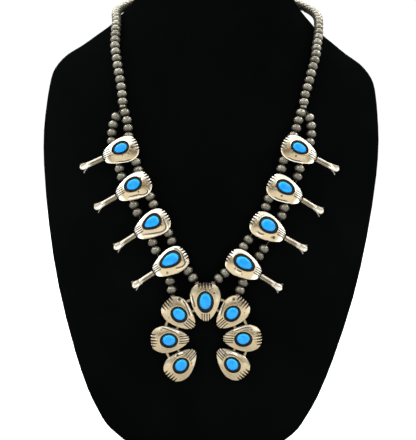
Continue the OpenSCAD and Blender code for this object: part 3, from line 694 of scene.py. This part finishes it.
def stem(work, place, seed):
    """A ridged stem with painted shade along its lower side, which is darker and warmer, and a dark band down
    its front.
    """
    pick = random.Random(seed)
    count = 8 * STEM_RIDGES
    grooves = [pick.uniform(0.4, 0.7) for _ in range(STEM_RIDGES)]
    grooves[0] = 1.0

    def ring(x, width, ridge, dark, sunk=0.0):
        def at(i):
            a = 2 * math.pi * i / count
            wave = math.cos(STEM_RIDGES * a)
            r = width / 2 * (1 - ridge * smooth(0.3, -1, wave))
            deep = smooth(0.1, -0.9, wave) * grooves[i * STEM_RIDGES // count]
            # Painted shade: the lower side of the stem is made darker and warmer.
            down = smooth(-0.55, 0.0, math.sin(a)) * smooth(11.4, 10, x)
            band = (0.7 * smooth(0.3, 0.1, abs(math.sin(a) - 0.12)) * smooth(0, 0.3, math.cos(a))
                    * smooth(10.5, 9.5, x))
            dark_and_shade = max(dark + 0.32 * down, deep, band) if ridge else dark
            return x, r * math.sin(a), r * math.cos(a) - sunk, dark_and_shade, 0.3 + 0.6 * down
        return at

    neck, joint = 0.6 * STEM_WIDTH, 0.25 * STEM_WIDTH
    steps = [ring(-0.5 * STEM_WIDTH, 0.3 * STEM_WIDTH, 0, 0.2, 1.2), ring(-0.1, 0.8 * neck, 0, 0.3, 0.8),
             ring(0.3, neck, 0, 0.9, 0.5), ring(joint - 0.1, neck, 0, 1, 0.2),
             ring(joint, 0.92 * STEM_WIDTH, 0.1, 0.5), ring(joint + 0.25, STEM_WIDTH, 0.12, 0.1)]
    steps += [ring(x, STEM_WIDTH, 0.14, 0.14) for x in (2, 4, 6, 8, 9.5, 11)]
    steps += [ring(12, STEM_WIDTH, 0.1, 0.1), ring(STEM_LENGTH, 0.98 * STEM_WIDTH, 0.05, 0.4),
              ring(STEM_LENGTH, 0.6 * STEM_WIDTH, 0, 1), (STEM_LENGTH - 0.5, 0, 0, 1)]
    work.rings(count, steps, place)


def petal(work, place, width, bend, dark):
    """A spoon-shaped petal that leaves the stem's end and bends outwards."""
    bend = math.radians(bend)
    radius = PETAL_CURVE / bend
    far = radius * math.sin(bend)
    outline = ((-0.5, 0.4), (0.15, 0.43), (0.45, 0.48), (0.72, 0.49), (0.88, 0.4), (0.96, 0.26), (1, 0.1))
    made = bmesh.ops.create_grid(work.mesh, x_segments=14, y_segments=8, size=1)["verts"]
    for v in made:
        share, side = (v.co.x + 1) / 2 * 1.16 - 0.16, v.co.y
        angle = max(share, 0) * bend
        x = radius * math.sin(angle) + min(share, 0) * PETAL_CURVE
        half = width * along(outline, min(x / far, 1))
        z = radius * (1 - math.cos(angle))
        cup = 0.4 * side * side * smooth(0, 0.5, share)
        v.co = place @ (MM * Vector((x - cup * math.sin(angle), half * side,
                                     z + cup * math.cos(angle) + 0.1)))
        # A side petal's dark value is tarnish and painted shade.
        v[work.tarnish_and_shade] = max(dark, 0.2 * abs(side) ** 4)
        v[work.tone] = 0.1 + 0.25 * smooth(0.3, -0.1, share)
    bmesh.ops.solidify(work.mesh, geom=list({f for v in made for f in v.link_faces}), thickness=PETAL_SHEET * MM)


def tube(work, place, low, high):
    """A drilled tube along Y under a plate, on its web."""
    count = 28

    def ring(y, r, dark):
        def at(i):
            a = 2 * math.pi * i / count
            return r * math.cos(a), y, -TUBE_DROP + r * math.sin(a), dark
        return at

    outer, bore = TUBE_WIDTH / 2, TUBE_BORE / 2
    work.rings(count, [ring(low, bore, 1), ring(low, outer - 0.2, 0.4), ring(low + 0.2, outer, 0.35),
                       ring((low + high) / 2, outer, 0.55), ring(high - 0.2, outer, 0.35),
                       ring(high, outer - 0.2, 0.4), ring(high, bore, 1), ring(low, bore, 1)],
               place, close=True, tone=0.8)
    foot = -TUBE_DROP + 0.95 * outer
    for v in bmesh.ops.create_cube(work.mesh, size=1)["verts"]:
        v.co = place @ (MM * Vector((WEB * v.co.x, (low + high) / 2 + (high - low - 0.6) * v.co.y,
                                     foot + (v.co.z + 0.5) * (0.3 - foot))))
        v[work.tarnish_and_shade], v[work.tone] = 0.5, 0.8


def blossom(side, i):
    """One squash blossom with its stone."""
    name = f"{SIDES[side]}_{i}"
    stem_turn, stone, crease, stamps = BLOSSOMS[side][i - 1]
    seed = 10 * side + i
    place = stone_frame(f"stone_{name}", lambda middle: Vector((1 - 2 * side, 0, 0.3)), side == 1)
    work = Work(f"blossom_{name}_silver")
    shadowbox(work, place, {**HEAD, "stone": stone}, crease, stamps, seed)
    stalk = place @ moved(-SEAT * HEAD["length"], -HEAD["drop"], STEM_LIFT) @ turned(180 + stem_turn)
    stem(work, stalk, seed)
    for turn, width, bend, dark in PETALS:
        petal(work, stalk @ moved(STEM_LENGTH - PETAL_WALL, 0, 0) @ turned(turn, "X")
              @ moved(0, 0, STEM_WIDTH / 2 - PETAL_WALL), width, bend, dark)
    for share in TUBE_PLACES:
        tube(work, place @ moved(share * HEAD["length"], 0, 0), -(0.5 + TUBE_SHIFT) * TUBE_LENGTH,
             (0.5 - TUBE_SHIFT) * TUBE_LENGTH)
    work.finish([SILVER], "silver", [f"blossom_{name}"])
    cabochon(f"stone_{name}", place, stone, 100 + seed)


# The crescent

def wire(work, place, radius, sweep):
    """A round wire behind the leaves."""
    count, steps = 16, 60

    def ring(share, r):
        a = math.radians(90 - sweep / 2 + sweep * share)

        def at(i):
            b = 2 * math.pi * i / count
            out = radius + r * math.cos(b)
            return out * math.cos(a), out * math.sin(a), -WIRE / 2 + WIRE_SUNK + r * math.sin(b), 0.4
        return at

    a = math.radians(90 + sweep / 2)
    work.rings(count, [ring(k / steps, WIRE_SHOWN) for k in range(steps + 1)]
               + [(radius * math.cos(a), radius * math.sin(a), -WIRE / 2 + WIRE_SUNK, 0.3)], place, tone=0.9)


def crescent():
    """The naja: seven leaves on two wires, with the tubes that the strands end in."""
    stones = [f"crescent_stone_{i + 1}" for i in range(7)]
    middles = [spread(*loose_parts(s)[0])[0] for s in stones]
    centre = (middles[0] + middles[6]) / 2 * 0.35 + (middles[1] + middles[5]) / 2 * 0.65
    frames = [stone_frame(s, lambda m: m - centre, False) for s in stones]
    work = Work("crescent_silver")
    for i, (crease, stamps) in enumerate(LEAVES):
        shape = TOP_LEAF if i == 3 else LEAF
        shadowbox(work, frames[i], shape, crease, stamps, 40 + i)
        cabochon(stones[i], frames[i], shape["stone"], 200 + i)
    middle = frames[3] @ moved(-RING_RADIUS - TOP_OUT, 0, 0) @ turned(-90)
    for radius in WIRE_RADII:
        wire(work, middle, radius, 6 * LEAF_STEP + WIRE_PAST_LEAVES)
    for hand in (1, -1):
        for angle, share, turn in END_TUBES:
            out = share * RING_RADIUS
            spot = moved(-hand * out * math.sin(math.radians(angle)), out * math.cos(math.radians(angle)), 0)
            tube(work, middle @ spot @ turned(hand * turn), -END_TUBE_LENGTH / 2, END_TUBE_LENGTH / 2)
    work.finish([SILVER], "silver", ["crescent"])


# Beads, clasp and bust

def bead(work, middle, axis, seed):
    """A round bead of two halves with a soldered seam, each one a little different, with painted shade on its
    lower side.
    """
    pick = random.Random(seed)
    place = Matrix.Translation(middle) @ axis.to_track_quat("Z", "Y").to_matrix().to_4x4()
    count = 24
    round_r, shoulder = BEAD_LENGTH / 2, (BEAD_WIDTH - BEAD_LENGTH) / 2
    phase = pick.uniform(0, 6)
    dents = [(pick.uniform(0, 6.28), pick.uniform(-0.6, 0.6), pick.uniform(0.02, 0.07)) for _ in range(3)]
    bore = BEAD_BORE / 2
    turn = place.to_3x3()

    def ring(angle, press=0.0, dark=0.0):
        z, out = round_r * math.sin(angle), shoulder + round_r * math.cos(angle) - press

        def at(i):
            a = 2 * math.pi * i / count
            near = sum(depth * smooth(0.7, 0.1, math.hypot(math.remainder(a - aim, 2 * math.pi), angle - up))
                       for aim, up, depth in dents)
            flute = 0.03 * math.cos(12 * a + phase) * smooth(0.35, 0.9, abs(angle))
            r = max(out - near + flute, bore)
            outwards = Vector((math.cos(angle) * math.cos(a), math.cos(angle) * math.sin(a), math.sin(angle)))
            facing = (turn @ outwards).z
            shade = (0.4 * smooth(0.8, 1.35, abs(angle))
                     + 0.35 * smooth(0.02, -0.03, flute) * smooth(0.4, 0.9, abs(angle)))
            # Painted shade: the bead is darker on the side that faces down.
            shade += 0.72 * smooth(0.55, -0.45, facing)
            return r * math.cos(a), r * math.sin(a), z, min(1, max(dark, shade + 2 * near))
        return at

    def mouth(z):
        return lambda i: (bore * math.cos(2 * math.pi * i / count), bore * math.sin(2 * math.pi * i / count),
                          z, 1.0)

    end = 0.985 * round_r
    steps = [mouth(-end)] + [ring(a) for a in BEAD_ANGLES] + [ring(*row) for row in BEAD_SEAM]
    steps += [ring(-a) for a in reversed(BEAD_ANGLES)] + [mouth(end), mouth(-end)]
    work.rings(count, steps, place, close=True, tone=0.7 * pick.random())


def turned_profile(work, middle, axis, profile):
    """A ring or barrel turned round an axis from rows of radius, height and tarnish."""
    count = 40
    place = Matrix.Translation(middle) @ axis.to_track_quat("Z", "Y").to_matrix().to_4x4()

    def ring(r, z, dark):
        return lambda i: (r * math.cos(2 * math.pi * i / count), r * math.sin(2 * math.pi * i / count), z, dark)

    work.rings(count, [ring(*row) for row in profile], place, close=True)


def string_of_beads(node, seed):
    work = Work(f"{node}_silver")
    for i, (middle, axis, is_ring) in enumerate(strung(node)):
        if is_ring:
            turned_profile(work, middle, axis, RING_PROFILE)
        else:
            bead(work, middle, axis, 1000 * seed + i)
    work.finish([BEAD_SILVER], "bead_silver", [node])


def clasp():
    """A plain barrel clasp with a bead at each end of its barrel."""
    middle, _, axes = spread(*loose_parts("clasp")[0])
    work = Work("clasp_silver")
    turned_profile(work, middle, axes[0], CLASP_PROFILE)
    work.finish([SILVER], "silver", ["clasp"])


def bust():
    """The velvet skin of the bust: the frame's own surface, shaded smooth."""
    work = Work("bust_velvet")
    work.mesh.from_mesh(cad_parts["bust"].data)
    bmesh.ops.remove_doubles(work.mesh, verts=work.mesh.verts, dist=1e-6)
    bmesh.ops.join_triangles(work.mesh, faces=work.mesh.faces, angle_face_threshold=0.7,
                             angle_shape_threshold=0.7)
    work.finish([VELVET], "velvet", ["bust"], 180)


# The studio

# The sky's light: axis, where a band starts and where it is full, colour before it and in it
SKY = (("Z", 0.0, 0.55, (0.36, 0.31, 0.24, 1), (1.0, 0.98, 0.93, 1)),
       ("Z", 0.55, 0.85, None, (1.3, 1.28, 1.2, 1)),
       ("X", 0.3, 0.65, None, (0.6, 0.58, 0.53, 1)),
       ("X", -0.3, -0.65, None, (0.6, 0.58, 0.53, 1)),
       ("Y", -0.1, 0.35, None, (1.05, 1.05, 1.05, 1)))

# Lamps: name, place and aim in metres, width, watts, colour
NECKLACE = (0, -0.06, 0.2)
LAMPS = (("key", (-0.75, -1.2, 1.25), NECKLACE, 1.2, 7.5, (1, 0.98, 0.94)),
         ("fill", (0.9, -1.3, 0.95), NECKLACE, 0.6, 4.2, (1, 0.97, 0.92)),
         ("left wing", (-1.2, -0.7, 1.0), NECKLACE, 1.5, 7.2, (1, 0.98, 0.94)),
         ("right wing", (1.2, -0.7, 1.0), NECKLACE, 1.5, 6.6, (1, 0.98, 0.94)),
         ("left spark", (-1.1, 0.15, 1.0), NECKLACE, 0.5, 9, (1, 1, 0.98)),
         ("right spark", (1.1, 0.15, 1.0), NECKLACE, 0.5, 9, (1, 1, 0.98)),
         ("backdrop", (0, 1.1, 1.6), (0, 1.5, 0), 2.0, 60, (1, 1, 1)))

# The camera: sensor in millimetres, focal length and picture height in pixels, tilt and roll in degrees,
# and the point of the chest that it is one metre in front of
SENSOR = 36
FOCAL_PIXELS = 1400.6
PICTURE_PIXELS = 440
CAMERA_TILT = 4
CAMERA_ROLL = 1.9
CAMERA_POINT = (-0.36, -59.8, 180)


def sky():
    """Light from above and the sides, a warmer and dimmer one from in front below, and white behind."""
    world = bpy.data.worlds.new("studio")
    bpy.context.scene.world = world
    world.use_nodes = True
    tree = world.node_tree
    way = tree.nodes.new("ShaderNodeTexCoord")
    split = tree.nodes.new("ShaderNodeSeparateXYZ")
    tree.links.new(way.outputs["Generated"], split.inputs[0])
    colour = None
    for output, low, high, first, second in SKY:
        ramp = tree.nodes.new("ShaderNodeMapRange")
        ramp.inputs["From Min"].default_value = low
        ramp.inputs["From Max"].default_value = high
        tree.links.new(split.outputs[output], ramp.inputs["Value"])
        blend = tree.nodes.new("ShaderNodeMix")
        blend.data_type = "RGBA"
        tree.links.new(ramp.outputs[0], blend.inputs[0])
        if colour:
            tree.links.new(colour, blend.inputs[6])
        else:
            blend.inputs[6].default_value = first
        blend.inputs[7].default_value = second
        colour = blend.outputs[2]
    tree.links.new(colour, tree.nodes["Background"].inputs["Color"])


def studio():
    """Pale floor, soft lights and a camera where the photographer stood."""
    shell = bmesh.new()
    bmesh.ops.create_circle(shell, cap_ends=True, segments=96, radius=4)
    data = bpy.data.meshes.new("floor")
    shell.to_mesh(data)
    shell.free()
    floor = bpy.data.objects.new("floor", data)
    floor.data.materials.append(floor_finish())
    bpy.context.scene.collection.objects.link(floor)
    sky()
    for name, spot, aim, width, power, colour in LAMPS:
        lamp = bpy.data.lights.new(name, "AREA")
        lamp.size, lamp.energy, lamp.color = width, power, colour
        light = bpy.data.objects.new(name, lamp)
        light.location = spot
        light.rotation_euler = (Vector(aim) - Vector(spot)).to_track_quat("-Z", "Y").to_euler()
        bpy.context.scene.collection.objects.link(light)

    camera = bpy.data.objects.new("camera", bpy.data.cameras.new("camera"))
    camera.data.sensor_width = SENSOR
    camera.data.lens = SENSOR * FOCAL_PIXELS / PICTURE_PIXELS
    camera.data.clip_end = 20
    down = math.radians(CAMERA_TILT)
    ahead = Vector((0, math.cos(down), -math.sin(down)))
    camera.location = Vector(CAMERA_POINT) * MM - ahead
    roll = Matrix.Rotation(math.radians(CAMERA_ROLL), 3, "Z")
    camera.rotation_euler = (ahead.to_track_quat("-Z", "Y").to_matrix() @ roll).to_euler()
    bpy.context.scene.collection.objects.link(camera)
    bpy.context.scene.camera = camera
    bpy.context.scene.view_settings.view_transform = "Standard"


studio()
bust()
for side in (0, 1):
    for i in range(1, 5):
        blossom(side, i)
crescent()
for number, node in enumerate(("string_left", "string_right", "strand_left_inner", "strand_left_outer",
                               "strand_right_inner", "strand_right_outer")):
    string_of_beads(node, number + 1)
clasp()
for node in ("thread_left", "thread_right"):
    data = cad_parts[node].data
    data.materials.clear()
    data.materials.append(THREAD)
